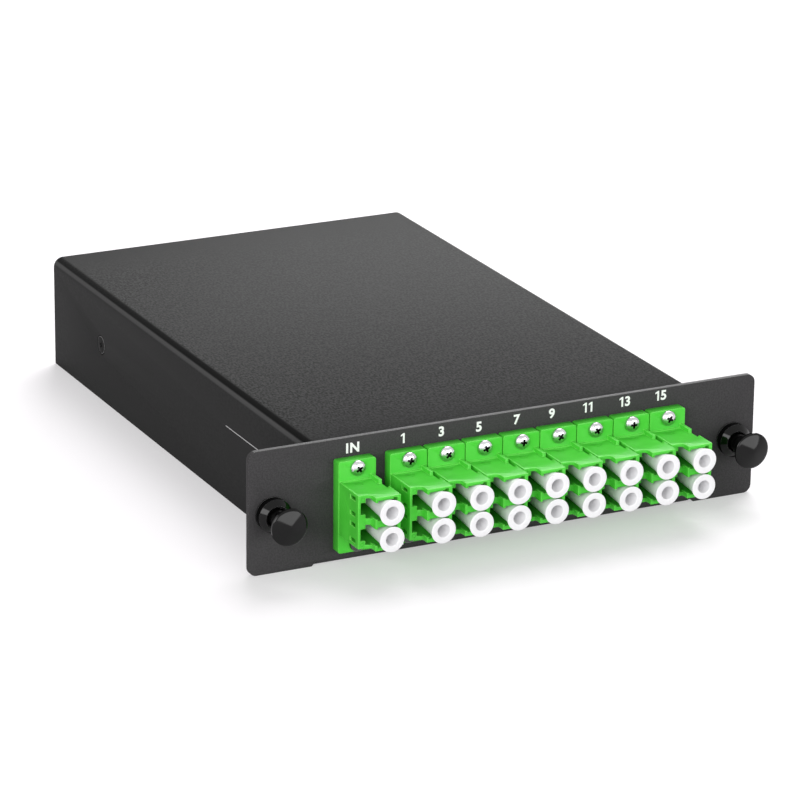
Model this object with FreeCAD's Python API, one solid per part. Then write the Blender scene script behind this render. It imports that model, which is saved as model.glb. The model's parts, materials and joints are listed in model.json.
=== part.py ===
import FreeCAD, Part
import math
import os

# A slide-in fibre splitter cassette. Millimetres.
# X runs to the right seen from the front, Y to the back, Z up.
# The origin is midway between the two latches, on the rear face of the front panel.

os.makedirs("parts", exist_ok=True)

# Front panel and latches
panel_sheet = 1.2
panel_height = 29.4
panel_corner = 2.0
ear_width = 15.45
latch_inset = 5.75
latch_rise = 14.2

# Case
case_depth = 154.0
case_height = 28.2
cover_sheet = 1.0
cover_bend = 2.5
tray_bend = 1.5
sheet_gap = 0.15
ear_relief = 1.1

# Tabs that carry the cover screws
tab_length = 14.0
tab_height = 20.0
tab_slit = 0.6
cover_screw_inset = 31.2
cover_screw_rise = 14.5
cover_screw_head_r = 2.3
cover_screw_r = 1.25
cover_screw_length = 4.0
screw_gap = 0.05

# Adapter row
adapter_pitch = 9.52
adapter_pairs = 8
input_gap = 12.75
input_margin = 5.5
output_margin = 4.61
adapter_rise = 14.0

# Adapter moulding
flange_width = 9.2
flange_height = 21.8
flange_thick = 2.7
adapter_left = 4.45
adapter_right = 4.65
adapter_height = 12.6
adapter_front = 15.3
adapter_rear = 11.1
latch_side_front = 12.6
latch_side_width = 3.0
hollow_round = 1.2
waist_cut = 0.65
waist_end = 9.7
key_rib_width = 0.75
key_rib_height = 0.8
key_rib_end = 7.0
recess_depth = 0.2
recess_border = 0.4
recess_front_border = 1.6
web_thick = 2.0
web_back = 0.5
slot_gap = 0.15

# Ports in an adapter
port_pitch = 6.25
port_offset = 1.5
port_size = 4.8
pocket_width = 1.8
latch_slot = 2.85
latch_wall = 0.55
lip_depth = 1.2
pocket_depth = 8.0
tip_gap = 4.0
notch_width = 1.0
notch_height = 0.35
notch_depth = 3.0
window_length = 2.6
window_height = 0.9
window_offset = 1.85
window_start = 1.6

# Screws that hold the adapters
adapter_screw_spacing = 18.0
adapter_screw_r = 0.95
adapter_screw_head_r = 1.85
adapter_screw_head = 1.3
adapter_screw_crown = 0.8
adapter_screw_length = 6.0

# Ceramic alignment sleeves
sleeve_r = 0.81
sleeve_bore_r = 0.66
sleeve_length = 6.8
sleeve_gap = 0.02

# Dust caps
cap_front_r = 3.05
cap_mouth_r = 2.37
cap_inner_r = 1.85
cap_proud = 2.4
cap_length = 11.5
cap_bore_r = 1.5
cap_bore_end_r = 1.3
cap_bore_depth = 5.5

# Turned pieces drawn with flats, because most of them repeat many times: their numbers of sides
cap_sides = 16
screw_sides = 8
hollow_steps = 3
cover_screw_sides = 12
sleeve_sides = 6
latch_sides = 24
spool_sides = 32

# Latch grommets
collar_foot_r = 4.8
collar_foot = 0.4
collar_r = 4.0
collar_rim = 1.9
collar_nose_r = 2.8
collar_height = 3.0
barrel_r = 3.15
barrel_neck_r = 3.0
barrel_gap = 0.05
barrel_bore_r = 2.5
barrel_length = 4.0
barrel_slit = 0.9

# Latch plungers
knob_r = 4.35
knob_edge = 0.6
knob_taper = 0.9
knob_stand = 5.0
stem_r = 2.25
stem_tip_r = 1.6
stem_tip = 1.6
stem_reach = 0.8

# Plugs behind the adapters
plug_size = 4.5
plug_gap = 0.3
plug_tail = 2.0
boot_front = 3.6
boot_end = 2.2
boot_length = 12.0
ferrule_r = 0.62
ferrule_gap = 0.1
plug_bore = 2.2
plug_bore_depth = 3.5
lever_width = 1.8
lever_thick = 0.7
lever_rise = 1.3

# Splitter device and its cradle, across the back of the case
device_length = 60.0
device_width = 7.0
device_height = 4.0
device_wall = 0.4
device_inset = 15.8
chip_length = 14.0
chip_width = 4.0
chip_height = 2.2
input_array_length = 5.0
output_array_length = 7.0
boot_plug = 3.0
boot_nose = 4.0
boot_nose_size = 3.0
cradle_length = 44.0
cradle_base = 1.0
cradle_wall = 1.2
cradle_lip = 0.5
cradle_gap = 0.1

# Fibre spool
spool_to_device = 59.0
spool_r = 22.0
spool_wall = 2.0
spool_base_r = 27.4
spool_base = 1.0
spool_height = 9.0
spool_tab_width = 7.0
spool_tab = 1.0
spool_tabs = 4
spool_screw_spacing = 24.0
spool_screw_head_r = 2.4
spool_screw_head = 1.4
spool_screw_r = 1.4

# Fibres
fibre_r = 0.45
fibre_sides = 4
coil_thick = 1.6
coil_height = 5.0
coil_gap = 0.1
trunk_overrun = 3.0
run_inset = 3.9
input_bend = 9.0

# Widths, levels and places that follow from the sizes
row_width = adapter_left + input_gap + (adapter_pairs - 1) * adapter_pitch + adapter_right
case_width = input_margin + row_width + output_margin
panel_width = case_width + 2 * ear_width
latch_spacing = panel_width - 2 * latch_inset
input_x = -case_width / 2 + input_margin + adapter_left
first_output_x = input_x + input_gap
floor_z = -latch_rise
panel_top = floor_z + panel_height
panel_front = -panel_sheet
case_top = floor_z + case_height
case_back = case_depth - panel_sheet
device_y = case_back - device_inset
spool_y = device_y - spool_to_device
tray_half = case_width / 2 - cover_sheet - sheet_gap
tray_top = case_top - cover_sheet - sheet_gap
fibre_run_x = tray_half - run_inset
floor_top = floor_z + panel_sheet
adapter_z = floor_z + adapter_rise
front_y = panel_front - adapter_front
rear_y = panel_front + adapter_rear
latch_side_y = panel_front - latch_side_front
web_y = panel_front - web_back
flange_y = panel_front - flange_thick
output_xs = [first_output_x + i * adapter_pitch for i in range(adapter_pairs)]
adapter_xs = [input_x] + output_xs
port_zs = [adapter_z + port_pitch / 2, adapter_z - port_pitch / 2]
cover_screw_ys = [panel_front + cover_screw_inset, case_back - cover_screw_inset]
cover_screw_z = floor_z + cover_screw_rise
half_slot = adapter_height / 2 + slot_gap
screw_zs = [adapter_z + adapter_screw_spacing / 2, adapter_z - adapter_screw_spacing / 2]


def vec(x, y, z):
    return FreeCAD.Vector(x, y, z)


def in_xy(u, v):
    return vec(u, v, 0)


def in_xz(u, v):
    return vec(u, 0, v)


def in_yz(u, v):
    return vec(0, u, v)


# A closed outline whose corners are (u, v, radius), with a tangent arc at each rounded corner
def outline(corners, plane):
    count = len(corners)
    ends = []
    for i in range(count):
        here = plane(corners[i][0], corners[i][1])
        before = plane(corners[i - 1][0], corners[i - 1][1])
        after = plane(corners[(i + 1) % count][0], corners[(i + 1) % count][1])
        radius = corners[i][2]
        to_before = (before - here).normalize()
        to_after = (after - here).normalize()
        half = to_before.getAngle(to_after) / 2
        if radius == 0:
            ends.append((here, None, here))
            continue
        run = radius / math.tan(half)
        middle = (to_before + to_after).normalize()
        crown = here + middle * (radius / math.sin(half) - radius)
        ends.append((here + to_before * run, crown, here + to_after * run))
    edges = []
    for i in range(count):
        start, crown, stop = ends[i]
        if crown is not None:
            edges.append(Part.Arc(start, crown, stop).toShape())
        following = ends[(i + 1) % count][0]
        if (following - stop).Length > 1e-6:
            edges.append(Part.LineSegment(stop, following).toShape())
    return Part.Wire(edges)


def prism(corners, plane, start, run):
    face = Part.Face(outline(corners, plane))
    face.translate(start)
    return face.extrude(run)


def box(x0, x1, y0, y1, z0, z1):
    return Part.makeBox(x1 - x0, y1 - y0, z1 - z0, vec(x0, y0, z0))


def rod(radius, start, run):
    return Part.makeCylinder(radius, run.Length, start, run)


def polygon(radius, sides, x, y, z):
    turns = [2 * math.pi * (i + 0.5) / sides for i in range(sides)]
    return [vec(x + radius * math.cos(t), y, z + radius * math.sin(t)) for t in turns]


# A turned solid along Y through (x, z), drawn with flats: tapers through the (radius, y) stations
def flat_sided(stations, x, z, sides):
    rings = [polygon(radius, sides, x, y, z) for radius, y in stations]
    faces = [Part.Face(Part.makePolygon(ring + [ring[0]])) for ring in (rings[0], rings[-1])]
    for near, far in zip(rings, rings[1:]):
        for i in range(sides):
            j = (i + 1) % sides
            faces.append(Part.Face(Part.makePolygon([near[i], near[j], far[j], far[i], near[i]])))
    solid = Part.Solid(Part.Shell(faces))
    if solid.Volume < 0:
        solid.reverse()
    return solid


def save(shape, name):
    clean = shape.removeSplitter()
    clean.exportStep("parts/" + name + ".step")
    print(name, "valid" if clean.isValid() else "NOT VALID", len(clean.Solids), round(clean.Volume, 2))
    return clean


# Chassis: bottom, front panel with ears and back wall, folded from one sheet
def make_chassis():
    inner_bend = tray_bend - panel_sheet
    strip = prism(
        [
            (panel_front, panel_top, 0),
            (panel_front, floor_z, tray_bend),
            (case_back, floor_z, tray_bend),
            (case_back, tray_top, 0),
            (case_back - panel_sheet, tray_top, 0),
            (case_back - panel_sheet, floor_top, inner_bend),
            (0, floor_top, inner_bend),
            (0, panel_top, 0),
        ],
        in_yz,
        vec(-tray_half, 0, 0),
        vec(2 * tray_half, 0, 0),
    )
    half = panel_width / 2
    ears = []
    for side in (-1, 1):
        ears.append(
            prism(
                [
                    (side * half, panel_top, panel_corner),
                    (side * tray_half, panel_top, 0),
                    (side * tray_half, floor_z + ear_relief, 0),
                    (side * (tray_half + ear_relief), floor_z, 0),
                    (side * half, floor_z, panel_corner),
                ],
                in_xz,
                vec(0, panel_front, 0),
                vec(0, panel_sheet, 0),
            )
        )
    tabs = []
    notches = []
    for side in (-1, 1):
        for y in cover_screw_ys:
            low = y - tab_length / 2
            high = y + tab_length / 2
            edge = side * tray_half
            inner = side * (tray_half - tray_bend)
            x0, x1 = sorted((edge, inner))
            notches.append(box(x0, x1, low - tab_slit, high + tab_slit, floor_z, floor_top))
            tab = prism(
                [
                    (inner, floor_z, 0),
                    (edge, floor_z, tray_bend),
                    (edge, floor_z + tab_height, 0),
                    (edge - side * panel_sheet, floor_z + tab_height, 0),
                    (edge - side * panel_sheet, floor_top, inner_bend),
                    (inner, floor_top, 0),
                ],
                in_xz,
                vec(0, low, 0),
                vec(0, tab_length, 0),
            )
            tabs.append(tab)
        corner = [(side * tray_half, tray_top, 0), (side * (tray_half - cover_bend), tray_top, 0)]
        corner.append((side * tray_half, tray_top - cover_bend, 0))
        notches.append(prism(corner, in_xz, vec(0, case_back - panel_sheet, 0), vec(0, panel_sheet, 0)))
    plate = strip.cut(Part.makeCompound(notches))
    return plate.multiFuse(ears + tabs)


# The holes and slots in the front panel and the screw holes in the tabs and the floor
def chassis_openings():
    first, last = output_xs[0], output_xs[-1]
    low = adapter_z - half_slot
    high = adapter_z + half_slot
    cuts = []
    for left, right in ((input_x, input_x), (first, last)):
        cuts.append(
            box(
                left - adapter_left - slot_gap,
                right + adapter_right + slot_gap,
                panel_front,
                0,
                low,
                high,
            )
        )
    hole_r = adapter_screw_r + screw_gap
    for x in adapter_xs:
        for z in screw_zs:
            cuts.append(flat_sided([(hole_r, panel_front), (hole_r, 0)], x, z, screw_sides))
    for side in (-1, 1):
        latch_x = side * latch_spacing / 2
        latch_hole = [(barrel_neck_r + barrel_gap, panel_front), (barrel_neck_r + barrel_gap, 0)]
        cuts.append(flat_sided(latch_hole, latch_x, 0, latch_sides))
        cuts.extend(countersunk(side, y, screw_gap) for y in cover_screw_ys)
        cuts.append(spool_screw(side, spool_screw_r + screw_gap, floor_z, floor_top))
    return cuts


# Cover: top and two side walls, folded from one sheet, with countersunk holes
def make_cover():
    half = case_width / 2
    inner = half - cover_sheet
    inner_bend = cover_bend - cover_sheet
    shell = prism(
        [
            (-half, floor_z, 0),
            (-half, case_top, cover_bend),
            (half, case_top, cover_bend),
            (half, floor_z, 0),
            (inner, floor_z, 0),
            (inner, case_top - cover_sheet, inner_bend),
            (-inner, case_top - cover_sheet, inner_bend),
            (-inner, floor_z, 0),
        ],
        in_xz,
        vec(0, sheet_gap, 0),
        vec(0, case_back - sheet_gap, 0),
    )
    holes = [countersunk(side, y, screw_gap) for side in (-1, 1) for y in cover_screw_ys]
    return shell.cut(Part.makeCompound(holes))


# A countersunk screw in a side wall, or with a gap the hole that takes it
def countersunk(side, y, gap):
    sink = cover_screw_head_r - cover_screw_r
    stations = [
        (cover_screw_head_r + gap, 0),
        (cover_screw_r + gap, sink),
        (cover_screw_r + gap, cover_screw_length),
    ]
    screw = flat_sided(stations, 0, 0, cover_screw_sides)
    screw.rotate(vec(0, 0, 0), vec(0, 0, 1), side * 90)
    screw.translate(vec(side * case_width / 2, y, cover_screw_z))
    return screw


# An adapter about its own middle: moulded housing with a flange and two ports
def make_adapter():
    half_height = adapter_height / 2
    waist_x = adapter_right - waist_cut
    tip_x = -adapter_left + latch_side_width
    corners = [(-adapter_left, rear_y, 0), (-adapter_left, latch_side_y, 0)]
    for step in range(hollow_steps + 1):
        turn = math.pi / 2 * step / hollow_steps
        x = tip_x - hollow_round * (1 - math.sin(turn))
        corners.append((x, latch_side_y - hollow_round * (1 - math.cos(turn)), 0))
    corners += [
        (tip_x, front_y, 0),
        (adapter_right, front_y, 0),
        (adapter_right, panel_front - waist_end, 0),
        (waist_x, panel_front - waist_end, 0),
        (waist_x, flange_y, 0),
        (adapter_right, flange_y, 0),
        (adapter_right, rear_y, 0),
    ]
    body = prism(corners, in_xy, vec(0, 0, -half_height), vec(0, 0, adapter_height))
    recess = box(
        -adapter_left + recess_border,
        adapter_right - recess_border,
        latch_side_y + recess_front_border,
        flange_y - recess_border,
        half_height - recess_depth,
        half_height,
    )
    flange = box(
        -flange_width / 2,
        flange_width / 2,
        flange_y,
        panel_front,
        -flange_height / 2,
        flange_height / 2,
    )
    rib = box(
        waist_x - key_rib_width,
        waist_x,
        panel_front - key_rib_end,
        flange_y,
        half_height - recess_depth,
        half_height + key_rib_height,
    )
    housing = body.cut(recess).multiFuse([flange, rib])
    cuts = []
    hole_r = adapter_screw_r + screw_gap
    for side in (-1, 1):
        screw_z = side * adapter_screw_spacing / 2
        hole = [(hole_r, flange_y), (hole_r, panel_front)]
        cuts.append(flat_sided(hole, 0, screw_z, screw_sides))
        cuts.extend(port_cuts(side * port_pitch / 2))
    return housing.cut(Part.makeCompound(cuts))


# The hollows of one port: plug cell, latch pocket and slots, key notch, catch windows, sleeve hole
def port_cuts(z):
    half = port_size / 2
    cell_left = port_offset - half
    cell_right = port_offset + half
    wall_x = -adapter_left + latch_wall
    tip_x = -adapter_left + latch_side_width
    pocket_x = cell_left - pocket_width
    lip_y = latch_side_y + lip_depth
    pocket_y = latch_side_y + pocket_depth
    web_front = web_y - web_thick
    notch_y = front_y + notch_depth
    cuts = [
        box(cell_left, cell_right, front_y, web_front, z - half, z + half),
        box(cell_left, cell_right, web_y, rear_y, z - half, z + half),
        box(pocket_x, cell_left, web_y + lip_depth, rear_y, z - latch_slot / 2, z + latch_slot / 2),
        box(pocket_x, tip_x, front_y, lip_y, z - half, z + half),
        box(tip_x, cell_left, front_y, latch_side_y, z - tip_gap / 2, z + tip_gap / 2),
        box(tip_x, cell_left, latch_side_y, lip_y, z - half, z + half),
        box(wall_x, pocket_x, latch_side_y, lip_y, z - latch_slot / 2, z + latch_slot / 2),
        box(wall_x, cell_left, lip_y, pocket_y, z - half, z + half),
        box(cell_right - notch_width, cell_right, front_y, notch_y, z + half, z + half + notch_height),
        flat_sided(
            [(sleeve_r + sleeve_gap, web_front), (sleeve_r + sleeve_gap, web_y)],
            port_offset,
            z,
            sleeve_sides,
        ),
    ]
    for side in (-1, 1):
        middle = z + side * window_offset
        start = latch_side_y + window_start
        cuts.append(
            box(
                -adapter_left,
                wall_x,
                start,
                start + window_length,
                middle - window_height / 2,
                middle + window_height / 2,
            )
        )
    return cuts


# A dust cap in the port at (x, z), pushed home
def make_cap(x, z):
    end_y = front_y - cap_proud
    barrel = flat_sided(
        [(cap_front_r, end_y), (cap_mouth_r, front_y), (cap_inner_r, end_y + cap_length)],
        x,
        z,
        cap_sides,
    )
    bore = flat_sided([(cap_bore_r, end_y), (cap_bore_end_r, end_y + cap_bore_depth)], x, z, cap_sides)
    return barrel.cut(bore)


# A pan-head screw through an adapter flange and the panel
def make_adapter_screw(x, z):
    seat = flange_y
    crown_r = adapter_screw_head_r * adapter_screw_crown
    head = [(crown_r, seat - adapter_screw_head), (adapter_screw_head_r, seat)]
    shank = [(adapter_screw_r, seat), (adapter_screw_r, seat + adapter_screw_length)]
    return flat_sided(head, x, z, screw_sides).fuse(flat_sided(shank, x, z, screw_sides))


# A ceramic sleeve that lines up the two ferrules in a port
def make_sleeve(x, z):
    middle = web_y - web_thick / 2
    start = middle - sleeve_length / 2
    stop = middle + sleeve_length / 2
    outer = flat_sided([(sleeve_r, start), (sleeve_r, stop)], x, z, sleeve_sides)
    inner = flat_sided([(sleeve_bore_r, start), (sleeve_bore_r, stop)], x, z, sleeve_sides)
    return outer.cut(inner)


# A fibre plug pushed into the rear of the port at (x, z): housing, boot, lever and ferrule
def make_plug(x, z):
    half = plug_size / 2
    front = web_y + plug_gap
    back = rear_y + plug_tail
    housing = box(x - half, x + half, front, back, z - half, z + half)
    half_front = boot_front / 2
    half_end = boot_end / 2
    boot = Part.makeWedge(
        x - half_front, back, z - half_front, z - half_end, x - half_end,
        x + half_front, back + boot_length, z + half_front, z + half_end, x + half_end,
    )
    lever = prism(
        [
            (x - half, front + lever_rise, 0),
            (x - half - lever_rise, back - lever_rise, 0),
            (x - half - lever_rise, back + lever_rise, 0),
            (x - half - lever_rise + lever_thick, back + lever_rise, 0),
            (x - half, front + 2 * lever_rise + lever_thick, 0),
        ],
        in_xy,
        vec(0, 0, z - lever_width / 2),
        vec(0, 0, lever_width),
    )
    bottom = front + plug_bore_depth
    bore = box(x - plug_bore / 2, x + plug_bore / 2, front, bottom, z - plug_bore / 2, z + plug_bore / 2)
    tip = web_y - web_thick / 2 + ferrule_gap
    ferrule = flat_sided([(ferrule_r, tip), (ferrule_r, bottom)], x, z, sleeve_sides)
    return housing.cut(bore).multiFuse([boot, lever, ferrule])


# Latch grommet: coned collar on a thin foot in front of the panel, split barrel behind it
def make_grommet(x):
    nose_y = panel_front - collar_height
    rim_y = panel_front - collar_rim
    foot_y = panel_front - collar_foot
    cone = [(collar_nose_r, nose_y), (collar_r, rim_y), (collar_r, panel_front)]
    collar = flat_sided(cone, x, 0, latch_sides)
    foot = flat_sided([(collar_foot_r, foot_y), (collar_foot_r, panel_front)], x, 0, latch_sides)
    neck = flat_sided([(barrel_neck_r, panel_front), (barrel_neck_r, 0)], x, 0, latch_sides)
    barrel = rod(barrel_r, vec(x, 0, 0), vec(0, barrel_length, 0))
    bore = flat_sided([(barrel_bore_r, nose_y), (barrel_bore_r, barrel_length)], x, 0, latch_sides)
    slit = box(x - barrel_r, x + barrel_r, 0, barrel_length, -barrel_slit / 2, barrel_slit / 2)
    return collar.multiFuse([foot, neck, barrel]).cut(Part.makeCompound([bore, slit]))


# Latch plunger: knob on a stem with a tapered tip, drawn with the knob pulled out
def make_plunger(x):
    back_y = panel_front - collar_height - knob_stand
    edge_y = back_y - knob_taper
    stations = [
        (knob_r, edge_y - knob_edge),
        (knob_r, edge_y),
        (stem_r, back_y),
        (stem_r, stem_reach),
        (stem_tip_r, stem_reach + stem_tip),
    ]
    return flat_sided(stations, x, 0, latch_sides)


# Splitter device: steel tube, chip with its two fibre arrays, and a boot at each end
def device_level():
    return floor_top + cradle_base


def make_device_case():
    half = device_length / 2
    low = device_level()
    side = device_width / 2
    outer = box(-half, half, device_y - side, device_y + side, low, low + device_height)
    inner = box(
        -half,
        half,
        device_y - side + device_wall,
        device_y + side - device_wall,
        low + device_wall,
        low + device_height - device_wall,
    )
    return outer.cut(inner)


def make_block(start, length):
    low = device_level() + device_wall
    half = chip_width / 2
    return box(start, start + length, device_y - half, device_y + half, low, low + chip_height)


def make_end_boot(side):
    half = device_length / 2
    low = device_level() + device_wall
    width = device_width / 2 - device_wall
    height = device_height - 2 * device_wall
    inside, mouth, nose = [side * (half + run) for run in (-boot_plug, 0, boot_nose)]
    middle = low + height / 2
    x0, x1 = sorted((inside, mouth))
    plug = box(x0, x1, device_y - width, device_y + width, low, low + height)
    x0, x1 = sorted((mouth, nose))
    size = boot_nose_size / 2
    tip = box(x0, x1, device_y - size, device_y + size, middle - size, middle + size)
    return plug.fuse(tip)


def make_cradle():
    half = cradle_length / 2
    inner = device_width / 2 + cradle_gap
    outer = inner + cradle_wall
    low = floor_top
    rim = device_level() + device_height + cradle_gap
    return prism(
        [
            (device_y - outer, low, 0),
            (device_y + outer, low, 0),
            (device_y + outer, rim + cradle_lip, 0),
            (device_y + inner, rim + cradle_lip, 0),
            (device_y + inner - cradle_lip, rim, 0),
            (device_y + inner, rim, 0),
            (device_y + inner, low + cradle_base, 0),
            (device_y - inner, low + cradle_base, 0),
            (device_y - inner, rim, 0),
            (device_y - inner + cradle_lip, rim, 0),
            (device_y - inner, rim + cradle_lip, 0),
            (device_y - outer, rim + cradle_lip, 0),
        ],
        in_yz,
        vec(-half, 0, 0),
        vec(cradle_length, 0, 0),
    )


# A round upright at (x, y) from one level to another, drawn with flats
def upright(radius, sides, x, y, low, high):
    pin = flat_sided([(radius, 0), (radius, high - low)], 0, 0, sides)
    pin.rotate(vec(0, 0, 0), vec(1, 0, 0), 90)
    pin.translate(vec(x, y, low))
    return pin


def spool_disc(radius, low, high):
    return upright(radius, spool_sides, 0, spool_y, low, high)


# Fibre spool: base disc, hub and retaining tabs, held by two screws
def make_spool():
    base_top = floor_top + spool_base
    top = floor_top + spool_height
    parts = [spool_disc(spool_r, base_top, top).cut(spool_disc(spool_r - spool_wall, base_top, top))]
    for i in range(spool_tabs):
        start = spool_r - spool_wall / 2
        tab = box(start, spool_base_r, -spool_tab_width / 2, spool_tab_width / 2, top - spool_tab, top)
        tab.rotate(vec(0, 0, 0), vec(0, 0, 1), (i + 0.5) * 360 / spool_tabs)
        tab.translate(vec(0, spool_y, 0))
        parts.append(tab)
    spool = spool_disc(spool_base_r, floor_top, base_top).multiFuse(parts)
    cuts = [spool_screw(side, spool_screw_r + screw_gap, floor_top, base_top) for side in (-1, 1)]
    return spool.cut(Part.makeCompound(cuts))


def spool_screw(side, radius, low, high):
    return upright(radius, screw_sides, side * spool_screw_spacing / 2, spool_y, low, high)


def make_spool_screw(side):
    seat = floor_top + spool_base
    head = spool_screw(side, spool_screw_head_r, seat, seat + spool_screw_head)
    return head.fuse(spool_screw(side, spool_screw_r, floor_z, seat))


# Output harness: lead from the splitter, coil on the spool, trunk along the row of plugs
def make_harness():
    low = floor_top + spool_base + coil_gap
    inner = spool_r + coil_gap
    outer = inner + coil_thick
    ring = spool_disc(outer, low, low + coil_height).cut(spool_disc(inner, low, low + coil_height))
    tangent_y = spool_y - outer
    right = output_xs[-1] + port_offset + trunk_overrun
    left = output_xs[0] + port_offset - trunk_overrun
    trunk = box(left, right, tangent_y, tangent_y + coil_thick, low, port_zs[0] + trunk_overrun)
    level = device_level() + device_height / 2
    join_x = (inner + outer) / 2
    lead = tube(
        [
            (vec(device_length / 2 + boot_nose, device_y, level), 0),
            (vec(fibre_run_x, device_y, level), input_bend),
            (vec(fibre_run_x, spool_y + 3 * input_bend, level), input_bend),
            (vec(join_x, spool_y + 2 * input_bend, level), input_bend),
            (vec(join_x, spool_y, level), 0),
        ],
        fibre_r,
        fibre_sides,
    )
    return ring.multiFuse([trunk, lead])


def make_tail(x, z):
    start = rear_y + plug_tail + boot_length
    stop = spool_y - spool_r - coil_gap - coil_thick
    return flat_sided([(fibre_r, start), (fibre_r, stop)], x, z, fibre_sides)


# A tube with flats along straight runs joined by tangent arcs, corners as (point, radius)
def tube(corners, radius, sides):
    edges = []
    here = corners[0][0]
    for i in range(1, len(corners) - 1):
        corner, bend = corners[i]
        back = (corners[i - 1][0] - corner).normalize()
        ahead = (corners[i + 1][0] - corner).normalize()
        half = back.getAngle(ahead) / 2
        run = bend / math.tan(half)
        crown = corner + (back + ahead).normalize() * (bend / math.sin(half) - bend)
        edges.append(Part.LineSegment(here, corner + back * run).toShape())
        edges.append(Part.Arc(corner + back * run, crown, corner + ahead * run).toShape())
        here = corner + ahead * run
    edges.append(Part.LineSegment(here, corners[-1][0]).toShape())
    path = Part.Wire(edges)
    start = corners[0][0]
    direction = (corners[1][0] - start).normalize()
    points = polygon(radius, sides, 0, 0, 0)
    ring = Part.makePolygon(points + [points[0]])
    ring.Placement = FreeCAD.Placement(start, FreeCAD.Rotation(vec(0, 1, 0), direction))
    return path.makePipeShell([ring], True, True)


def make_input_fibre():
    level = device_level() + device_height / 2
    plug_x = input_x + port_offset
    plug_z = port_zs[0]
    boot_y = rear_y + plug_tail + boot_length
    start_x = -device_length / 2 - boot_nose
    return tube(
        [
            (vec(start_x, device_y, level), 0),
            (vec(-fibre_run_x, device_y, level), input_bend),
            (vec(-fibre_run_x, spool_y, level), 3 * input_bend),
            (vec(plug_x, (spool_y + boot_y) / 2, plug_z), 3 * input_bend),
            (vec(plug_x, boot_y, plug_z), 0),
        ],
        fibre_r,
        fibre_sides,
    )


chassis = make_chassis().cut(Part.makeCompound(chassis_openings()))
save(chassis, "chassis")
save(make_cover(), "cover")
fixings = [countersunk(side, y, 0) for side in (-1, 1) for y in cover_screw_ys]
save(Part.makeCompound(fixings), "cover_screws")

adapter = make_adapter()
adapter_names = ["adapter_in"]
for i in range(adapter_pairs):
    adapter_names.append("adapter_%02d_%02d" % (2 * i + 1, 2 * i + 2))
for x, name in zip(adapter_xs, adapter_names):
    save(adapter.translated(vec(x, 0, adapter_z)), name)

port_names = ["in_upper", "in_lower"]
for i in range(2 * adapter_pairs):
    port_names.append("%02d" % (i + 1))
ports = [(x + port_offset, z) for x in adapter_xs for z in port_zs]
for place, name in zip(ports, port_names):
    save(make_cap(*place), "cap_" + name)

screws = [make_adapter_screw(x, z) for x in adapter_xs for z in screw_zs]
save(Part.makeCompound(screws), "adapter_screws")
save(Part.makeCompound([make_sleeve(*place) for place in ports]), "alignment_sleeves")

for side, word in ((-1, "left"), (1, "right")):
    save(make_grommet(side * latch_spacing / 2), word + "_latch_grommet")
    save(make_plunger(side * latch_spacing / 2), word + "_latch_plunger")

save(make_plug(*ports[0]), "input_plug")
save(Part.makeCompound([make_plug(*place) for place in ports[2:]]), "output_plugs")

save(make_device_case(), "splitter_case")
half_chip = chip_length / 2
save(make_block(-half_chip, chip_length), "splitter_chip")
save(make_block(-half_chip - input_array_length, input_array_length), "input_fibre_array")
save(make_block(half_chip, output_array_length), "output_fibre_array")
save(make_end_boot(-1), "splitter_input_boot")
save(make_end_boot(1), "splitter_output_boot")
save(make_cradle(), "splitter_cradle")
save(make_spool(), "fibre_spool")
save(Part.makeCompound([make_spool_screw(side) for side in (-1, 1)]), "spool_screws")
save(make_harness(), "output_harness")
save(Part.makeCompound([make_tail(*place) for place in ports[2:]]), "output_tails")
save(make_input_fibre(), "input_fibre")
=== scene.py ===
import bpy
import bmesh
import json
import math
from mathutils import Matrix, Vector


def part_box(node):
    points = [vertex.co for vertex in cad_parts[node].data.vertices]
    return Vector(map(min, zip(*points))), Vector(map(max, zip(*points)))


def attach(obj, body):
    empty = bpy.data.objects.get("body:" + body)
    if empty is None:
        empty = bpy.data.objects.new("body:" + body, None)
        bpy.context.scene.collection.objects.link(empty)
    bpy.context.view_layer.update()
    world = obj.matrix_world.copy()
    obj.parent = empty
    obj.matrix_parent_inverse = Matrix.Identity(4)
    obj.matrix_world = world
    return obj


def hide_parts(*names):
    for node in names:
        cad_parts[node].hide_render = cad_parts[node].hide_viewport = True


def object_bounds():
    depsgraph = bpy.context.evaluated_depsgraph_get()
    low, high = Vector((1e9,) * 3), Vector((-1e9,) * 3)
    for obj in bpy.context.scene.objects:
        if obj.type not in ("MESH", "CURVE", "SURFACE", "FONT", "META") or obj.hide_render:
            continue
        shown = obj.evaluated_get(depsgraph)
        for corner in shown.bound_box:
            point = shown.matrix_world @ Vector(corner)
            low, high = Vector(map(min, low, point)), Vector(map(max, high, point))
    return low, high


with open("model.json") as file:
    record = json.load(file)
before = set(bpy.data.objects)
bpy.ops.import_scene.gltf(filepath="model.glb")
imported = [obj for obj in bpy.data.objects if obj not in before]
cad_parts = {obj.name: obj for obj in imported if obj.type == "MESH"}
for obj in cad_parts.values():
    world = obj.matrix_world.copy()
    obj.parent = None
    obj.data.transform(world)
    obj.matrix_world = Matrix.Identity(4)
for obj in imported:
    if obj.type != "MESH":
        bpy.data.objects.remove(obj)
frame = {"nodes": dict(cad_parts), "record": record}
cadLow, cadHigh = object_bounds()
mm = 0.001
print("frame loaded:", len(frame["nodes"]), "nodes")


def put(name, data):
    item = bpy.data.objects.new(name, data)
    bpy.context.scene.collection.objects.link(item)
    return item


camera = {
    "azimuth": -26.43,
    "elevation": 19.47,
    "roll": 0.64,
    "lens": 190.1,
    "sensor": 36,
    "clip": (0.05, 20),
    "distance": 996.6,
    "sideways": -6.9,
    "upwards": 5.1,
    "aim": (0, 38.8, -0.2),
}


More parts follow.
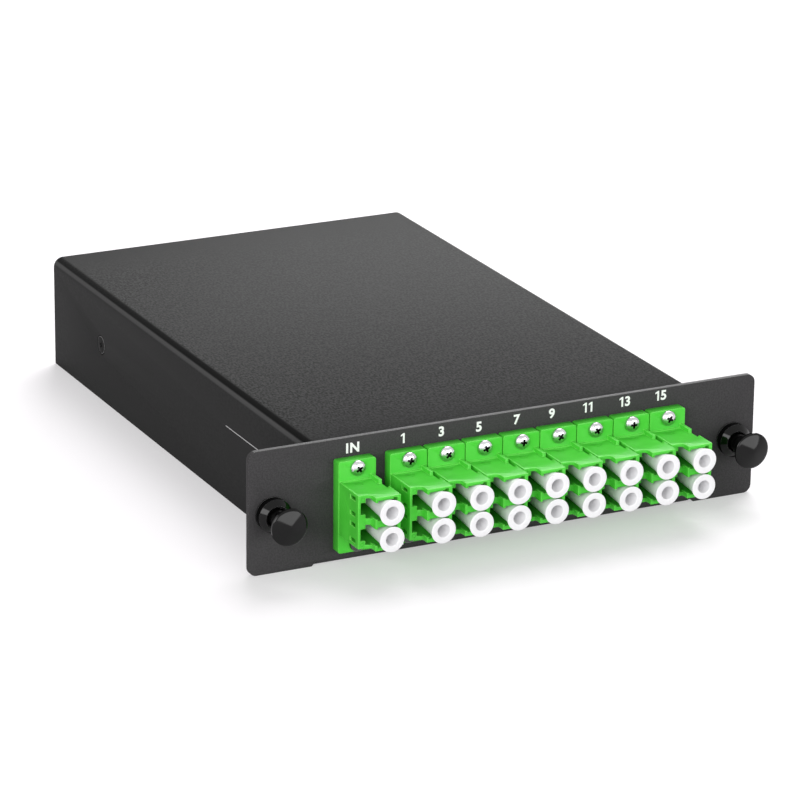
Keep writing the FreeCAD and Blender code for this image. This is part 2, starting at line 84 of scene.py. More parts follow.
def placeCamera():
    turn, tilt, roll = (math.radians(camera[k]) for k in ("azimuth", "elevation", "roll"))
    back = Vector((math.sin(turn) * math.cos(tilt), -math.cos(turn) * math.cos(tilt), math.sin(tilt)))
    right = Vector((math.cos(turn), math.sin(turn), 0))
    up = back.cross(right)
    spot = Vector(camera["aim"]) + back * camera["distance"]
    spot += right * camera["sideways"] + up * camera["upwards"]
    rolledRight = right * math.cos(roll) + up * math.sin(roll)
    rolledUp = up * math.cos(roll) - right * math.sin(roll)
    body = bpy.data.cameras.new("photoCamera")
    body.lens = camera["lens"]
    body.sensor_width = camera["sensor"]
    body.clip_start, body.clip_end = camera["clip"]
    eye = put("photoCamera", body)
    turnMatrix = Matrix((rolledRight, rolledUp, back)).transposed().to_4x4()
    eye.matrix_world = Matrix.Translation(spot * mm) @ turnMatrix
    bpy.context.scene.camera = eye


placeCamera()
print("camera placed")


# Shader maths: a Signal is a node's output, a Finish is one material
class Signal:
    def __init__(self, finish, socket):
        self.finish = finish
        self.socket = socket

    def maths(self, operation, first, second):
        return self.finish.add("ShaderNodeMath", {"operation": operation}, {0: first, 1: second})

    def __add__(self, other):
        return self.maths("ADD", self, other)

    def __radd__(self, other):
        return self.maths("ADD", other, self)

    def __sub__(self, other):
        return self.maths("SUBTRACT", self, other)

    def __rsub__(self, other):
        return self.maths("SUBTRACT", other, self)

    def __mul__(self, other):
        return self.maths("MULTIPLY", self, other)

    def __rmul__(self, other):
        return self.maths("MULTIPLY", other, self)

    def larger(self, other):
        return self.maths("MAXIMUM", self, other)


class Finish:
    def __init__(self, name, owner=None, shader="Principled BSDF"):
        self.material = owner or bpy.data.materials.new(name)
        self.material.use_nodes = True
        self.tree = self.material.node_tree
        self.shader = self.tree.nodes[shader]

    def add(self, kind, settings, sockets, output=0):
        node = self.tree.nodes.new(kind)
        for key, value in settings.items():
            if key == "stops":
                steps = node.color_ramp.elements
                while len(steps) < len(value):
                    steps.new(1)
                for step, (place, tone) in zip(steps, value):
                    step.position = place
                    step.color = tone
            else:
                setattr(node, key, value)
        for key, value in sockets.items():
            self.feed(node.inputs[key], value)
        return Signal(self, node.outputs[output])

    def feed(self, socket, value):
        if isinstance(value, Signal):
            self.tree.links.new(value.socket, socket)
        else:
            socket.default_value = value

    def set(self, **values):
        for key, value in values.items():
            self.feed(self.shader.inputs[key.replace("_", " ")], value)

    def place(self):
        return self.add("ShaderNodeTexCoord", {}, {}, "Object")

    def noise(self, scale, detail, rough, stretch=None):
        spot = self.place()
        if stretch:
            spot = self.add("ShaderNodeMapping", {}, {"Vector": spot, "Scale": stretch})
        sockets = {"Vector": spot, "Scale": scale, "Detail": detail, "Roughness": rough}
        return self.add("ShaderNodeTexNoise", {}, sockets)

    def ramp(self, source, low, high):
        stops = [(low, (0, 0, 0, 1)), (high, (1, 1, 1, 1))]
        return self.add("ShaderNodeValToRGB", {"stops": stops}, {"Fac": source})

    def blend(self, share, first, second):
        tones = [v if isinstance(v, Signal) else (*v, 1) for v in (first, second)]
        return self.add("ShaderNodeMix", {"data_type": "RGBA"}, {0: share, 6: tones[0], 7: tones[1]}, 2)

    def bump(self, height, strength, depth):
        sockets = {"Height": height, "Strength": strength, "Distance": depth * mm}
        return self.add("ShaderNodeBump", {}, sockets)

    def mask(self, name):
        return self.add("ShaderNodeAttribute", {"attribute_name": name}, {}, "Fac")

    def facing(self):
        return self.add("ShaderNodeNewGeometry", {}, {}, "Normal")

    def backdropRays(self):
        kinds = ("Is Camera Ray", "Is Glossy Ray", "Is Transmission Ray")
        seen, mirrored, through = (self.add("ShaderNodeLightPath", {}, {}, kind) for kind in kinds)
        return seen.larger(mirrored.larger(through))


def grey(level):
    return (level,) * 3


coat = {
    "detail": 2,
    "crumble": 0.6,
    "deep": 0.2,  # shares of the coat's tone in its hollows and on its grains
    "pale": 1.8,
    "level": (0.975, 0.99),  # the normal's upward part, from which a face counts as the top
    "rough": 0.43,
    "roughSwing": 0.14,
    "relief": 0.5,
}


# Powder coat: fine pebbled grain in colour, gloss and relief, with the rounded edges in a tone of their own:
# a painted highlight on the panel and side screws, painted shade on the cover.
# On the cover the grain stands out on the top, and the outside of a fold has a painted highlight band and a
# painted shade band, set by how far the surface faces up
def powderCoat(name, tone, paintedEdgeTone, grain, foldLightAndShade=(), shine=0.015):
    finish = Finish(name)
    fine = finish.noise(grain["scale"], coat["detail"], coat["crumble"], grain["stretch"])
    mottle = finish.ramp(fine, 0.5 - grain["spread"], 0.5 + grain["spread"])
    up = finish.add("ShaderNodeSeparateXYZ", {}, {0: finish.facing()}, 2)
    contrast = finish.ramp(up, *coat["level"]) * (grain["top"] - grain["side"]) + grain["side"]
    deep, pale = (tuple(v * share for v in tone) for share in (coat["deep"], coat["pale"]))
    shade = finish.blend((mottle - 0.5) * contrast + 0.5, deep, pale)
    # painted highlight and painted shade bands on the folds, picked by the normal's upward part
    for line in foldLightAndShade:
        paintedBand = finish.ramp(up, *line["rise"]) - finish.ramp(up, *line["fall"])
        shade = finish.blend(paintedBand, shade, line["tone"])
    # the edge mask lays the painted edge tone over the rounded edges
    finish.set(
        Base_Color=finish.blend(finish.mask("edge"), shade, paintedEdgeTone),
        Roughness=mottle * coat["roughSwing"] + coat["rough"],
        Normal=finish.bump(fine, coat["relief"], grain["depth"]),
        Specular_IOR_Level=shine,
    )
    return finish.material


flow = {"scale": 140, "detail": 3, "crumble": 0.55, "span": (0.3, 0.75), "roughSwing": 0.08, "depth": 0.02}


# Moulded plastic: faint clouds in colour and gloss, a fine skin, and a painted highlight on the rounded
# edges
def moulded(name, tone, deep, edge, rough, shine=0.5, skin=0.08, grain=900):
    finish = Finish(name)
    clouds = finish.noise(flow["scale"], flow["detail"], flow["crumble"])
    colour = finish.blend(finish.ramp(clouds, *flow["span"]), deep, tone)
    finish.set(
        Base_Color=finish.blend(finish.mask("edge"), colour, edge),
        Roughness=clouds * flow["roughSwing"] + (rough - flow["roughSwing"] / 2),
        Normal=finish.bump(finish.noise(grain, 2, 0.5), skin, flow["depth"]),
        Specular_IOR_Level=shine,
    )
    return finish.material


marks = {
    "scale": 700,
    "relief": 0.15,
    "depth": 0.01,
    "smudge": 250,
    "span": (0.3, 0.7),
    "lineSwing": 0.12,
    "smudgeSwing": 0.06,
}


# Metal: fine turning or drawing marks and smudges in the gloss, and painted shade where the edge mask is set
def metal(name, tone, dark, rough, stretch, edge=grey(0.3)):
    finish = Finish(name)
    lines = finish.noise(marks["scale"], 2, 0.5, stretch)
    smudge = finish.noise(marks["smudge"], 2, 0.6)
    colour = finish.blend(finish.ramp(smudge, *marks["span"]), dark, tone)
    evenRough = rough - (marks["lineSwing"] + marks["smudgeSwing"]) / 2
    finish.set(
        Base_Color=finish.blend(finish.mask("edge"), colour, edge),
        Metallic=1.0,
        Roughness=lines * marks["lineSwing"] + smudge * marks["smudgeSwing"] + evenRough,
        Normal=finish.bump(lines, marks["relief"], marks["depth"]),
    )
    return finish.material


grains = {
    "panel": {
        "scale": 2600, "spread": 0.08, "side": 0.12, "top": 0.12, "depth": 0.05, "stretch": (1, 1, 1),
    },
    "screw": {
        "scale": 3000, "spread": 0.1, "side": 0.2, "top": 0.2, "depth": 0.05, "stretch": (1, 1, 1),
    },
    "cover": {
        "scale": 2200, "spread": 0.14, "side": 0.12, "top": 0.85, "depth": 0.01, "stretch": (1, 0.55, 1),
    },
}
# Painted highlight and painted shade on the outside of the cover's folds: a pale band where the fold leaves
# the side wall, a dark band where it meets the top
coverFoldLightAndShade = [
    {"rise": (0.26, 0.42), "fall": (0.6, 0.7), "tone": grey(0.072)},
    {"rise": (0.66, 0.74), "fall": (0.95, 0.988), "tone": grey(0.01)},
]
finishes = {
    # The panel's rounded edges get grey(0.5): a painted highlight
    "powder_coat": powderCoat("panelCoat", (0.054, 0.0525, 0.054), grey(0.5), grains["panel"]),
    # the side screws' pale edge tone is a painted highlight ring on the head's rim
    "black_screw": powderCoat("blackScrewCoat", grey(0.02), grey(0.3), grains["screw"]),
    # the pale edge tone is a painted highlight on the adapters' rounded edges
    "green_plastic": moulded(
        "adapterGreen", (0.085, 0.60, 0.052), deep=(0.064, 0.545, 0.038), edge=(0.3, 0.96, 0.18),
        rough=0.36, shine=0.25,
    ),
    # the caps' slightly paler edge tone is a painted highlight on their rounded edges
    "white_plastic": moulded(
        "capWhite", (0.82, 0.82, 0.83), deep=(0.78, 0.78, 0.79), edge=(0.85, 0.85, 0.86),
        rough=0.45, shine=0.2,
    ),
    # the darker edge tone paints shade into the panel screws' cross recesses and onto their lower row
    "bright_screw": metal(
        "brightScrew", (0.70, 0.70, 0.71), dark=(0.56, 0.56, 0.58), rough=0.2, stretch=(1, 1, 1),
        edge=grey(0.12),
    ),
    "ceramic": moulded(
        "sleeveCeramic", (0.86, 0.85, 0.82), deep=(0.82, 0.81, 0.78), edge=(0.88, 0.88, 0.86), rough=0.2,
    ),
    # the pale edge tone is a painted highlight on the latch collars' rims
    "black_plastic": moulded(
        "latchBlack", grey(0.0025), deep=grey(0.0015), edge=grey(0.1),
        rough=0.1, shine=0.22, skin=0.01, grain=500,
    ),
    "plug_plastic": moulded(
        "plugGreen", (0.06, 0.40, 0.07), deep=(0.05, 0.34, 0.06), edge=(0.12, 0.55, 0.12), rough=0.45,
    ),
    "device_steel": metal(
        "tubeSteel", (0.62, 0.62, 0.63), dark=(0.5, 0.5, 0.51), rough=0.32, stretch=(0.05, 1, 1),
    ),
    "silica": moulded(
        "chipSilica", (0.78, 0.82, 0.83), deep=(0.72, 0.76, 0.78), edge=(0.85, 0.88, 0.9), rough=0.12,
    ),
    "boot_rubber": moulded(
        "bootRubber", grey(0.03), deep=grey(0.022), edge=grey(0.06), rough=0.7, shine=0.3, skin=0.3,
    ),
    "clip_plastic": moulded(
        "clipNatural", (0.72, 0.71, 0.67), deep=(0.66, 0.65, 0.61), edge=(0.8, 0.8, 0.77), rough=0.5,
    ),
    "fibre_jacket": moulded(
        "fibreJacket", (0.83, 0.76, 0.48), deep=(0.78, 0.7, 0.42), edge=(0.85, 0.8, 0.55), rough=0.4,
    ),
}
# The cover's rounded edges get grey(0.012) over a 0.034 coat: painted shade along its edges and outline
coverCoat = powderCoat("coverCoat", grey(0.034), grey(0.012), grains["cover"], coverFoldLightAndShade, shine=0.007)
printWhite = moulded("panelPrint", grey(0.88), deep=grey(0.84), edge=grey(0.9), rough=0.5, shine=0.1)
# the pale edge tone is a painted highlight along the film's upper edge
filmBlack = moulded(
    "sealFilmMatt", grey(0.026), deep=grey(0.023), edge=grey(0.5),
    rough=0.5, shine=0.02, skin=0.1, grain=700,
)
for row in frame["record"]["subparts"]:
    node = frame["nodes"][row["node"]]
    node.data.materials.clear()
    node.data.materials.append(finishes[row["material_slot"]])
print("finishes made:", len(finishes))

# Mesh helpers: every piece is built in millimetres and put down in metres
clean = {"weld": 0.002, "flat": 1, "spunWeld": 0.0005}
overhang = 1  # how far a cutter starts outside what it cuts


def merged(node):
    shape = bmesh.new()
    shape.from_mesh(frame["nodes"][node].data)
    bmesh.ops.scale(shape, vec=(1 / mm,) * 3, verts=shape.verts)
    bmesh.ops.remove_doubles(shape, verts=shape.verts, dist=clean["weld"])
    bmesh.ops.dissolve_limit(
        shape, angle_limit=math.radians(clean["flat"]), verts=shape.verts, edges=shape.edges
    )
    return shape


# The mask that gives a face its painted tone, from 0 to 1: painted highlights on rounded edges, painted
# shade on the cover's edges and on the panel screws
def paintedLightMask(shape):
    return shape.faces.layers.float.get("edge") or shape.faces.layers.float.new("edge")


def rounded(shape, edges, width, segments):
    made = bmesh.ops.bevel(
        shape,
        geom=edges,
        offset=width,
        offset_type="OFFSET",
        segments=segments,
        profile=0.5,
        affect="EDGES",
        material=-1,
        clamp_overlap=True,
    )
    return made["faces"]


def soften(shape, width, segments=2, limit=28, keep=lambda edge: True):
    layer = paintedLightMask(shape)
    sharp = [
        e for e in shape.edges
        if len(e.link_faces) == 2 and e.calc_face_angle(0) > math.radians(limit) and keep(e)
    ]
    for face in rounded(shape, sharp, width, segments):
        face[layer] = 1
    return shape


def moved(shape, place):
    bmesh.ops.translate(shape, vec=place, verts=shape.verts)
    return shape


def turned(shape, degrees, axis, verts=None):
    matrix = Matrix.Rotation(math.radians(degrees), 3, axis)
    bmesh.ops.rotate(shape, cent=(0, 0, 0), matrix=matrix, verts=verts or shape.verts)
    return shape


def spun(profile, steps=48, closed=False):
    shape = bmesh.new()
    corners = [shape.verts.new((r, y, 0)) for r, y in profile]
    edges = [shape.edges.new(pair) for pair in zip(corners, corners[1:])]
    if closed:
        edges.append(shape.edges.new((corners[-1], corners[0])))
    bmesh.ops.spin(
        shape,
        geom=corners + edges,
        cent=(0, 0, 0),
        axis=(0, 1, 0),
        angle=2 * math.pi,
        steps=steps,
        use_merge=True,
    )
    bmesh.ops.remove_doubles(shape, verts=shape.verts, dist=clean["spunWeld"])
    bmesh.ops.recalc_face_normals(shape, faces=shape.faces)
    return shape


def block(shape, low, high):
    made = bmesh.ops.create_cube(shape, size=1)["verts"]
    size = Vector(high) - Vector(low)
    bmesh.ops.scale(shape, vec=size, verts=made)
    bmesh.ops.translate(shape, vec=(Vector(high) + Vector(low)) / 2, verts=made)
    return made


def asMesh(shape, name):
    mesh = bpy.data.meshes.new(name)
    shape.to_mesh(mesh)
    shape.free()
    return mesh


def gather(whole, shape, place=(0, 0, 0)):
    single = asMesh(shape, "single")
    before = len(whole.verts)
    whole.from_mesh(single)
    whole.verts.ensure_lookup_table()
    bmesh.ops.translate(whole, vec=place, verts=whole.verts[before:])
    bpy.data.meshes.remove(single)


def carved(shape, cutter, name):
    solid = put(name, asMesh(shape, name))
    tool = put(name + "Cutter", asMesh(cutter, name + "Cutter"))
    cut = solid.modifiers.new("cut", "BOOLEAN")
    cut.operation = "DIFFERENCE"
    cut.solver = "EXACT"
    cut.use_self = True
    cut.object = tool
    bpy.context.view_layer.update()
    result = bmesh.new()
    result.from_object(solid, bpy.context.evaluated_depsgraph_get())
    for item in (solid, tool):
        bpy.data.objects.remove(item)
    return result


def finished(shape, name, body, slotName, nodes=(), smooth=32, material=None):
    bmesh.ops.scale(shape, vec=(mm,) * 3, verts=shape.verts)
    mesh = asMesh(shape, name)
    mesh.shade_smooth()
    mesh.set_sharp_from_angle(angle=math.radians(smooth))
    piece = put(name, mesh)
    mesh.materials.append(material or finishes[slotName])
    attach(piece, body)
    if nodes:
        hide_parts(*nodes)


def middle(node):
    low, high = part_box(node)
    return (low + high) / 2 / mm


# Folded steel: a painted highlight on the panel's rounded edges and along its upper face, and painted shade
# along the cover's rounded edges
folded = {
    "edge": 0.2,
    "panelTop": 15.1,
    "topLine": 0.16,  # painted highlight on the top face of the panel's upper edge
    "upward": 0.9,
    "foldLow": 11.4,
    "foldTurn": 0.1,
}


def makeChassis():
    shape = soften(merged("chassis"), folded["edge"])
    layer = paintedLightMask(shape)
    for face in shape.faces:
        if face.normal.z > folded["upward"] and face.calc_center_median().z > folded["panelTop"]:
            face[layer] = folded["topLine"]
    finished(shape, "chassisShell", "cassette", "powder_coat", ["chassis"])


def makeCover():
    shape = soften(merged("cover"), folded["edge"])
    layer = paintedLightMask(shape)
    shape.normal_update()
    for face in shape.faces:
        normal, spot = face.normal, face.calc_center_median()
        outward = normal.x * spot.x > 0 and abs(normal.y) < folded["foldTurn"]
        if outward and spot.z > folded["foldLow"]:
            face[layer] = 0  # the outside of a fold drops the painted edge shade and takes the fold's painted highlight and shade bands instead
    finished(shape, "coverShell", "cassette", "powder_coat", ["cover"], material=coverCoat)


makeChassis()
makeCover()
print("case made")

# Adapters: one moulding, dressed once and put down in nine places
adapterNodes = sorted(n for n in frame["nodes"] if n.startswith("adapter_") and n != "adapter_screws")
adapter = {
    "corner": 0.55,
    "cornerSegments": 4,
    "edge": 0.2,
    "edgeLimit": 40,
    "windowEdge": 0.07,
    "windowLimit": 60,
    "flangeHalf": (4.6, 10.9),
    "flangeNear": (0.1, 0.05),
    "flangeThin": 1,
    "window": {"outer": -3.85, "front": -13, "back": -8, "half": 6},
    "mark": {"radius": 0.95, "width": 0.14, "depth": 0.07, "spot": (-0.6, -6.1), "top": 6.1},
    "dimple": {
        "radius": 0.42, "width": 0.13, "depth": 0.12, "spots": ((-3.4, 5.35), (-3.4, -5.35)), "front": -13.8,
    },
    "grooveStart": -0.5,
    "grooveSteps": 24,
}


# A round groove, as deep as its size says
def groove(size):
    inner, outer = size["radius"] - size["width"] / 2, size["radius"] + size["width"] / 2
    start = adapter["grooveStart"]
    profile = [(inner, start), (outer, start), (outer, size["depth"]), (inner, size["depth"])]
    return spun(profile, adapter["grooveSteps"], True)


def adapterGrooves(home):
    mark, dimple = adapter["mark"], adapter["dimple"]
    x, y = mark["spot"]
    cutter = bmesh.new()
    gather(cutter, turned(groove(mark), -90, "X"), (home.x + x, y, home.z + mark["top"]))
    for x, z in dimple["spots"]:
        gather(cutter, groove(dimple), (home.x + x, dimple["front"], home.z + z))
    return cutter


# Edges of the flange's four corners, which run from its front face to its back
def flangeCorners(shape, home):
    halfX, halfZ = adapter["flangeHalf"]
    nearX, nearZ = adapter["flangeNear"]

    def atCorner(spot):
        return abs(abs(spot.x - home.x) - halfX) < nearX and abs(abs(spot.z - home.z) - halfZ) < nearZ

    return [
        e for e in shape.edges
        if all(atCorner(v.co) for v in e.verts)
        and abs(e.verts[0].co.y - e.verts[1].co.y) > adapter["flangeThin"]
    ]


def makeAdapters():
    home = middle("adapter_in")
    shape = merged("adapter_in")
    rounded(shape, flangeCorners(shape, home), adapter["corner"], adapter["cornerSegments"])
    window = adapter["window"]

    def atWindow(edge):
        return all(
            v.co.x - home.x < window["outer"]
            and window["front"] < v.co.y < window["back"]
            and abs(v.co.z - home.z) < window["half"]
            for v in edge.verts
        )

    # the rounded edges take the pale edge tone: a painted highlight
    soften(shape, adapter["edge"], limit=adapter["edgeLimit"], keep=lambda edge: not atWindow(edge))
    soften(shape, adapter["windowEdge"], 1, adapter["windowLimit"], atWindow)
    shape = carved(shape, adapterGrooves(home), "adapterBlank")
    for node in adapterNodes:
        copy = moved(shape.copy(), (middle(node).x - home.x, 0, 0))
        finished(copy, node.replace("_", "") + "Moulding", "cassette", "green_plastic", [node])
    shape.free()


makeAdapters()
print("adapters made:", len(adapterNodes))

# Dust caps: a blind bore in front, and a plug that tapers towards its inner end
cap = {
    "frontRadius": 3.05,
    "mouthRadius": 2.37,
    "innerRadius": 1.85,
    "proud": 2.4,
    "length": 11.5,
    "holeRadius": 1.5,
    "holeEnd": 1.3,
    "holeDepth": 5.5,
    "edge": 0.22,
    "edgeSegments": 3,
    "edgeLimit": 40,
}


def makeCap(node):
    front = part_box(node)[0].y / mm
    shape = spun([
        (0, front + cap["holeDepth"]),
        (cap["holeEnd"], front + cap["holeDepth"]),
        (cap["holeRadius"], front),
        (cap["frontRadius"], front),
        (cap["mouthRadius"], front + cap["proud"]),
        (cap["innerRadius"], front + cap["length"]),
        (0, front + cap["length"]),
    ])
    # the rounded edges take the slightly paler edge tone: a painted highlight
    soften(shape, cap["edge"], cap["edgeSegments"], cap["edgeLimit"])
    spot = middle(node)
    moved(shape, (spot.x, 0, spot.z))
    finished(shape, node.replace("_", "") + "Round", node, "white_plastic", [node], smooth=40)


for node in sorted(n for n in frame["nodes"] if n.startswith("cap_")):
    makeCap(node)
print("dust caps made")

# Panel screws: pan head with a cross recess
panHead = {
    "radius": 1.85,
    "height": 1.3,
    "side": 0.4,
    "bow": 0.9,
    "crownSteps": 8,
    "sides": 40,
    "shank": 0.95,
    "length": 6.0,
    "inset": 1.9,
    "cross": {"length": 2.6, "width": 0.66, "depth": 1.0},
    "recess": 0.12,
    "recessReach": 0.8,
    "turn": 28,
    "firstTurn": 12,
    "rowTurns": 3,
}
crossTaper = (0.35, 1, 0.7)


# A cross recess that narrows towards its bottom
def crossCutter(front, size, degrees):
    cutter = bmesh.new()
    reach, half = size["length"] / 2, size["width"] / 2
    for angle in (0, 90):
        verts = block(cutter, (-reach, front - overhang, -half), (reach, front + size["depth"], half))
        bmesh.ops.scale(cutter, vec=crossTaper, verts=[v for v in verts if v.co.y > front])
        turned(cutter, angle + degrees, "Y", verts)
    return cutter


def panScrew(degrees):
    size = panHead
    rise = size["height"] - size["side"]
    head = []
    for i in range(size["crownSteps"] + 1):
        t = math.radians(90 * i / size["crownSteps"])
        head.append((size["radius"] * math.sin(t) ** size["bow"], -size["side"] - rise * math.cos(t)))
    shank = [
        (size["radius"], 0), (size["shank"], 0), (size["shank"], size["length"]), (0, size["length"]),
    ]
    cutter = crossCutter(-size["height"], size["cross"], degrees)
    shape = carved(spun(head + shank, size["sides"]), cutter, "panScrew")
    layer = paintedLightMask(shape)
    for face in shape.faces:
        spot = face.calc_center_median()
        reach = math.hypot(spot.x, spot.z) / size["radius"]
        crown = -size["side"] - rise * math.sqrt(max(0, 1 - reach**2))
        if spot.y - crown > size["recess"] and spot.y < 0 and reach < size["recessReach"]:
            face[layer] = 1  # painted shade in the cross recess
    return shape


def makePanelScrews():
    whole = bmesh.new()
    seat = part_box("adapter_screws")[0].y / mm + panHead["height"]
    layer = paintedLightMask(whole)
    for place, node in enumerate(adapterNodes):
        low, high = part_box(node)
        heights = (high.z / mm - panHead["inset"], low.z / mm + panHead["inset"])
        for row, z in enumerate(heights):
            before = len(whole.faces)
            degrees = panHead["turn"] * (place + panHead["rowTurns"] * row) + panHead["firstTurn"]
            gather(whole, panScrew(degrees), (middle(node).x, seat, z))
            whole.faces.ensure_lookup_table()
            if row:  # painted shade on the lower row, which sits in shadow under the adapters
                for face in whole.faces[before:]:
                    face[layer] = 1
    finished(whole, "panelScrews", "cassette", "bright_screw", ["adapter_screws"], smooth=30)


makePanelScrews()
print("panel screws made")

# Latches: coned collar with a split barrel, and a domed knob on its stem
panelFront = -1.2
collar = {
    "bore": 2.5,
    "nose": 2.8,
    "height": 3.0,
    "rim": 4.0,
    "rimStand": 1.9,
    "foot": 4.15,
    "footHeight": 0.2,
    "neck": 3.0,
    "barrel": 3.15,
    "length": 4.0,
    "slit": 0.9,
    "slitReach": 5,
    "edge": 0.16,
    "edgeSegments": 3,
    "edgeLimit": 35,
}
knob = {
    "radius": 4.35,
    "dome": 1.1,
    "domeSteps": 10,
    "bow": 1.3,
    "rim": 0.45,
    "round": 0.12,
    "front": -10.7,
    "back": -9.2,
    "lap": 0.05,
    "stem": 2.25,
    "fillet": 0.35,
    "tip": 1.6,
    "tipStart": 0.8,
    "tipEnd": 2.4,
}
latchSides = 72


def makeCollar(node):
    size = collar
    profile = [
        (size["bore"], panelFront - size["height"]),
        (size["nose"], panelFront - size["height"]),
        (size["rim"], panelFront - size["rimStand"]),
        (size["rim"], panelFront - size["footHeight"]),
        (size["foot"], panelFront - size["footHeight"]),
        (size["foot"], panelFront),
        (size["neck"], panelFront),
        (size["neck"], 0),
        (size["barrel"], 0),
        (size["barrel"], size["length"]),
        (size["bore"], size["length"]),
    ]
    slit = bmesh.new()
    reach, half = size["slitReach"], size["slit"] / 2
    block(slit, (-reach, 0, -half), (reach, size["length"] + overhang, half))
    shape = carved(spun(profile, latchSides, True), slit, "collarBlank")
    # the rounded rims take the pale edge tone: a painted highlight
    soften(shape, size["edge"], size["edgeSegments"], size["edgeLimit"])
    return moved(shape, (middle(node).x, 0, 0))


def makeKnob(node):
    size = knob
    edge = size["radius"] - size["round"]
    rimFront = size["front"] + size["round"]
    shares = [i / size["domeSteps"] for i in range(size["domeSteps"] + 1)]
    profile = [(edge * s, size["front"] - size["dome"] * (1 - s ** size["bow"])) for s in shares]
    profile += [
        (size["radius"], rimFront),
        (size["radius"], rimFront + size["rim"]),
        (size["stem"] + size["fillet"], size["back"] - size["lap"]),
        (size["stem"], size["back"] + size["fillet"]),
        (size["stem"], size["tipStart"]),
        (size["tip"], size["tipEnd"]),
        (0, size["tipEnd"]),
    ]
    return moved(spun(profile, latchSides), (middle(node).x, 0, 0))


for side in ("left", "right"):
    node = side + "_latch_grommet"
    finished(makeCollar(node), side + "Collar", "cassette", "black_plastic", [node], smooth=40)
    node = side + "_latch_plunger"
    finished(makeKnob(node), side + "Knob", side + "_plunger", "black_plastic", [node], smooth=40)
print("latches made")

# Countersunk screws in the side walls
sideScrew = {
    "radius": 2.25,
    "sink": 1.0,
    "shank": 1.2,
    "length": 4.0,
    "sides": 40,
    "cross": {"length": 2.6, "width": 0.55, "depth": 0.9},
    "turn": 20,
    "edge": 0.14,
    "edgeLimit": 60,
}


def makeSideScrews():
    size = sideScrew
    low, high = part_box("cover_screws")
    rows = (round(low.y / mm) + size["radius"], round(high.y / mm) - size["radius"])
    head = [(0, 0), (size["radius"], 0), (size["shank"], size["sink"])]
    shank = [(size["shank"], size["length"]), (0, size["length"])]
    whole = bmesh.new()
    for side in (-1, 1):
        for y in rows:
            # the head's rounded rim takes the pale edge tone: a painted highlight ring
            blank = soften(spun(head + shank, size["sides"]), size["edge"], limit=size["edgeLimit"])
            screw = carved(blank, crossCutter(0, size["cross"], size["turn"]), "sideScrew")
            gather(whole, turned(screw, 90 * side, "Z"), (side * high.x / mm, y, middle("cover_screws").z))
    finished(whole, "sideScrews", "cassette", "black_screw", ["cover_screws"], smooth=30)


makeSideScrews()
print("side screws made")

# Seal film over the front left screw, left bare, with a painted highlight along its upper edge
film = {"low": (13.8, -4.7), "high": (45.8, 4.1), "thick": 0.07, "border": 0.2}


def makeFilm():
    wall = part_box("cover")[0].x / mm
    (y0, z0), (y1, z1) = film["low"], film["high"]
    shape = bmesh.new()
    layer = paintedLightMask(shape)
    block(shape, (wall - film["thick"], y0, z0), (wall, y1, z1))
    outer = min(shape.faces, key=lambda face: face.calc_center_median().x)
    bmesh.ops.inset_region(shape, faces=[outer], thickness=film["border"], use_even_offset=True)
    for face in shape.faces:
        # the upper border takes the pale edge tone: a painted highlight
        if face.calc_center_median().z > z1 - film["border"]:
            face[layer] = 1
    finished(shape, "sealFilm", "cassette", "black_plastic", material=filmBlack)


makeFilm()
print("seal film made")

# Printed numbers on the panel
labels = {
    "top": [
        ("IN", -39.25, 12.7), ("1", -26.8, 13.0), ("3", -17.1, 13.2), ("5", -7.6, 12.9), ("7", 2.1, 13.2),
        ("9", 11.1, 13.3), ("11", 20.4, 13.4), ("13", 30.1, 13.4), ("15", 39.6, 13.5),
    ],
    "height": 2.4,
    "low": -11.9,
    "lowHeight": 1.5,
    "boldness": 0.035,
    "gap": 0.2,
    "thick": 0.02,
    "one": {"stem": 0.19, "flag": 0.22, "flat": 0.3, "tip": 0.84, "underTip": 0.69, "underStem": 0.78},
}


# The figure one is a stem with a flag, and the rest are cut from the plain font, all one unit high
def figureOne():
    size = labels["one"]
    left, right = size["flag"], size["flag"] + size["stem"]
    corners = [
        (left, 0), (right, 0), (right, 1), (left + size["stem"] * size["flat"], 1),
        (0, size["tip"]), (0, size["underTip"]), (left, size["underStem"]),
    ]
    shape = bmesh.new()
    shape.faces.new([shape.verts.new((x, y, 0)) for x, y in corners])
    return shape


def glyph(sign):
    if sign == "1":
        return figureOne()
    text = bpy.data.curves.new("print" + sign, "FONT")
    text.body = sign
    text.offset = labels["boldness"]
    holder = put("print" + sign, text)
    bpy.context.view_layer.update()
    mesh = bpy.data.meshes.new_from_object(holder.evaluated_get(bpy.context.evaluated_depsgraph_get()))
    bpy.data.objects.remove(holder)
    bpy.data.curves.remove(text)
    shape = bmesh.new()
    shape.from_mesh(mesh)
    bpy.data.meshes.remove(mesh)
    left, foot = (min(v.co[i] for v in shape.verts) for i in (0, 1))
    high = max(v.co.y for v in shape.verts)
    moved(shape, (-left, -foot, 0))
    bmesh.ops.scale(shape, vec=(1 / (high - foot),) * 3, verts=shape.verts)
    return shape


def printed(words, x, z, height):
    shape = bmesh.new()
    width = 0
    for sign in words:
        gather(shape, glyph(sign), (width, 0, 0))
        width = max(v.co.x for v in shape.verts) + labels["gap"]
    moved(shape, (-(width - labels["gap"]) / 2, -0.5, 0))
    bmesh.ops.scale(shape, vec=(height,) * 3, verts=shape.verts)
    return moved(turned(shape, 90, "X"), (x, panelFront - labels["thick"], z))


def makeLabels():
    whole = bmesh.new()
    for words, x, z in labels["top"]:
        gather(whole, printed(words, x, z, labels["height"]))
        if words != "IN":
            gather(whole, printed(str(int(words) + 1), x, labels["low"], labels["lowHeight"]))
    finished(whole, "portNumbers", "cassette", "white_plastic", material=printWhite)


makeLabels()
print("labels made")

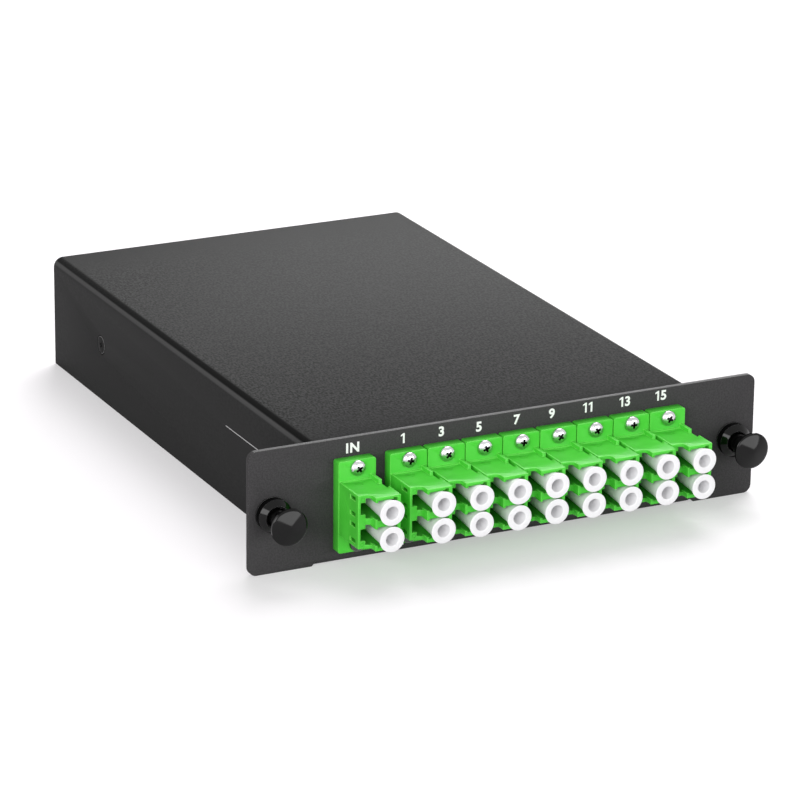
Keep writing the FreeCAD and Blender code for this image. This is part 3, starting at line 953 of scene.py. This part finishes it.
# Floor and light: the background is white by the rays that see it, and the lamps stay at a plain level
stage = {
    "floor": (0.60, 0.58, 0.60),
    "rough": 0.9,
    "nearGlow": 0.4,
    "farGlow": 0.8,
    "fade": (0.035, 0.12),  # distances from the middle, as shares of reach
    "reach": 10,
    "size": 6.0,
    "world": 0.4,
}
lamps = {
    "overBox": {"spot": (0.38, 0.46, 0.86), "size": (0.7, 0.7), "power": 7.8},
    "rearBox": {"spot": (0.45, 0.7, 0.3), "size": (0.5, 0.4), "power": 4.0},
    "frontBox": {"spot": (0.33, -1.08, 0.17), "size": (1.3, 0.32), "power": 5.4},
    "fillBox": {"spot": (-0.85, -0.75, 0.4), "size": (0.9, 0.5), "power": 8.2},
}


def makeFloor():
    finish = Finish("studioFloor")
    away = finish.add("ShaderNodeVectorMath", {"operation": "LENGTH"}, {0: finish.place()}, "Value")
    distance = finish.ramp(away * (1 / stage["reach"]), *stage["fade"])
    glow = finish.blend(distance, grey(stage["nearGlow"]), grey(stage["farGlow"]))
    finish.set(
        Base_Color=(*stage["floor"], 1),
        Roughness=stage["rough"],
        Specular_IOR_Level=0.0,
        Emission_Color=finish.blend(finish.backdropRays(), grey(0), glow),
        Emission_Strength=1.0,
    )
    shape = bmesh.new()
    bmesh.ops.create_grid(shape, x_segments=1, y_segments=1, size=stage["size"])
    mesh = asMesh(shape, "floor")
    mesh.materials.append(finish.material)
    floor = put("floor", mesh)
    floor.location = (0, 0, cadLow.z)


def makeWorld():
    world = bpy.data.worlds.new("studio")
    bpy.context.scene.world = world
    sky = Finish("studio", world, "Background")
    sky.set(Color=(1, 1, 1, 1), Strength=sky.backdropRays() * (1 - stage["world"]) + stage["world"])


def softbox(name, spot, size, power):
    lamp = bpy.data.lights.new(name, "AREA")
    lamp.shape = "RECTANGLE"
    lamp.size, lamp.size_y = size
    lamp.energy = power
    item = put(name, lamp)
    item.location = spot
    item.rotation_mode = "QUATERNION"
    item.rotation_quaternion = (-Vector(spot)).to_track_quat("-Z", "Y")
    item.visible_camera = False


makeFloor()
makeWorld()
for name, lamp in lamps.items():
    softbox(name, **lamp)
bpy.context.scene.view_settings.view_transform = "Standard"
print("stage made")
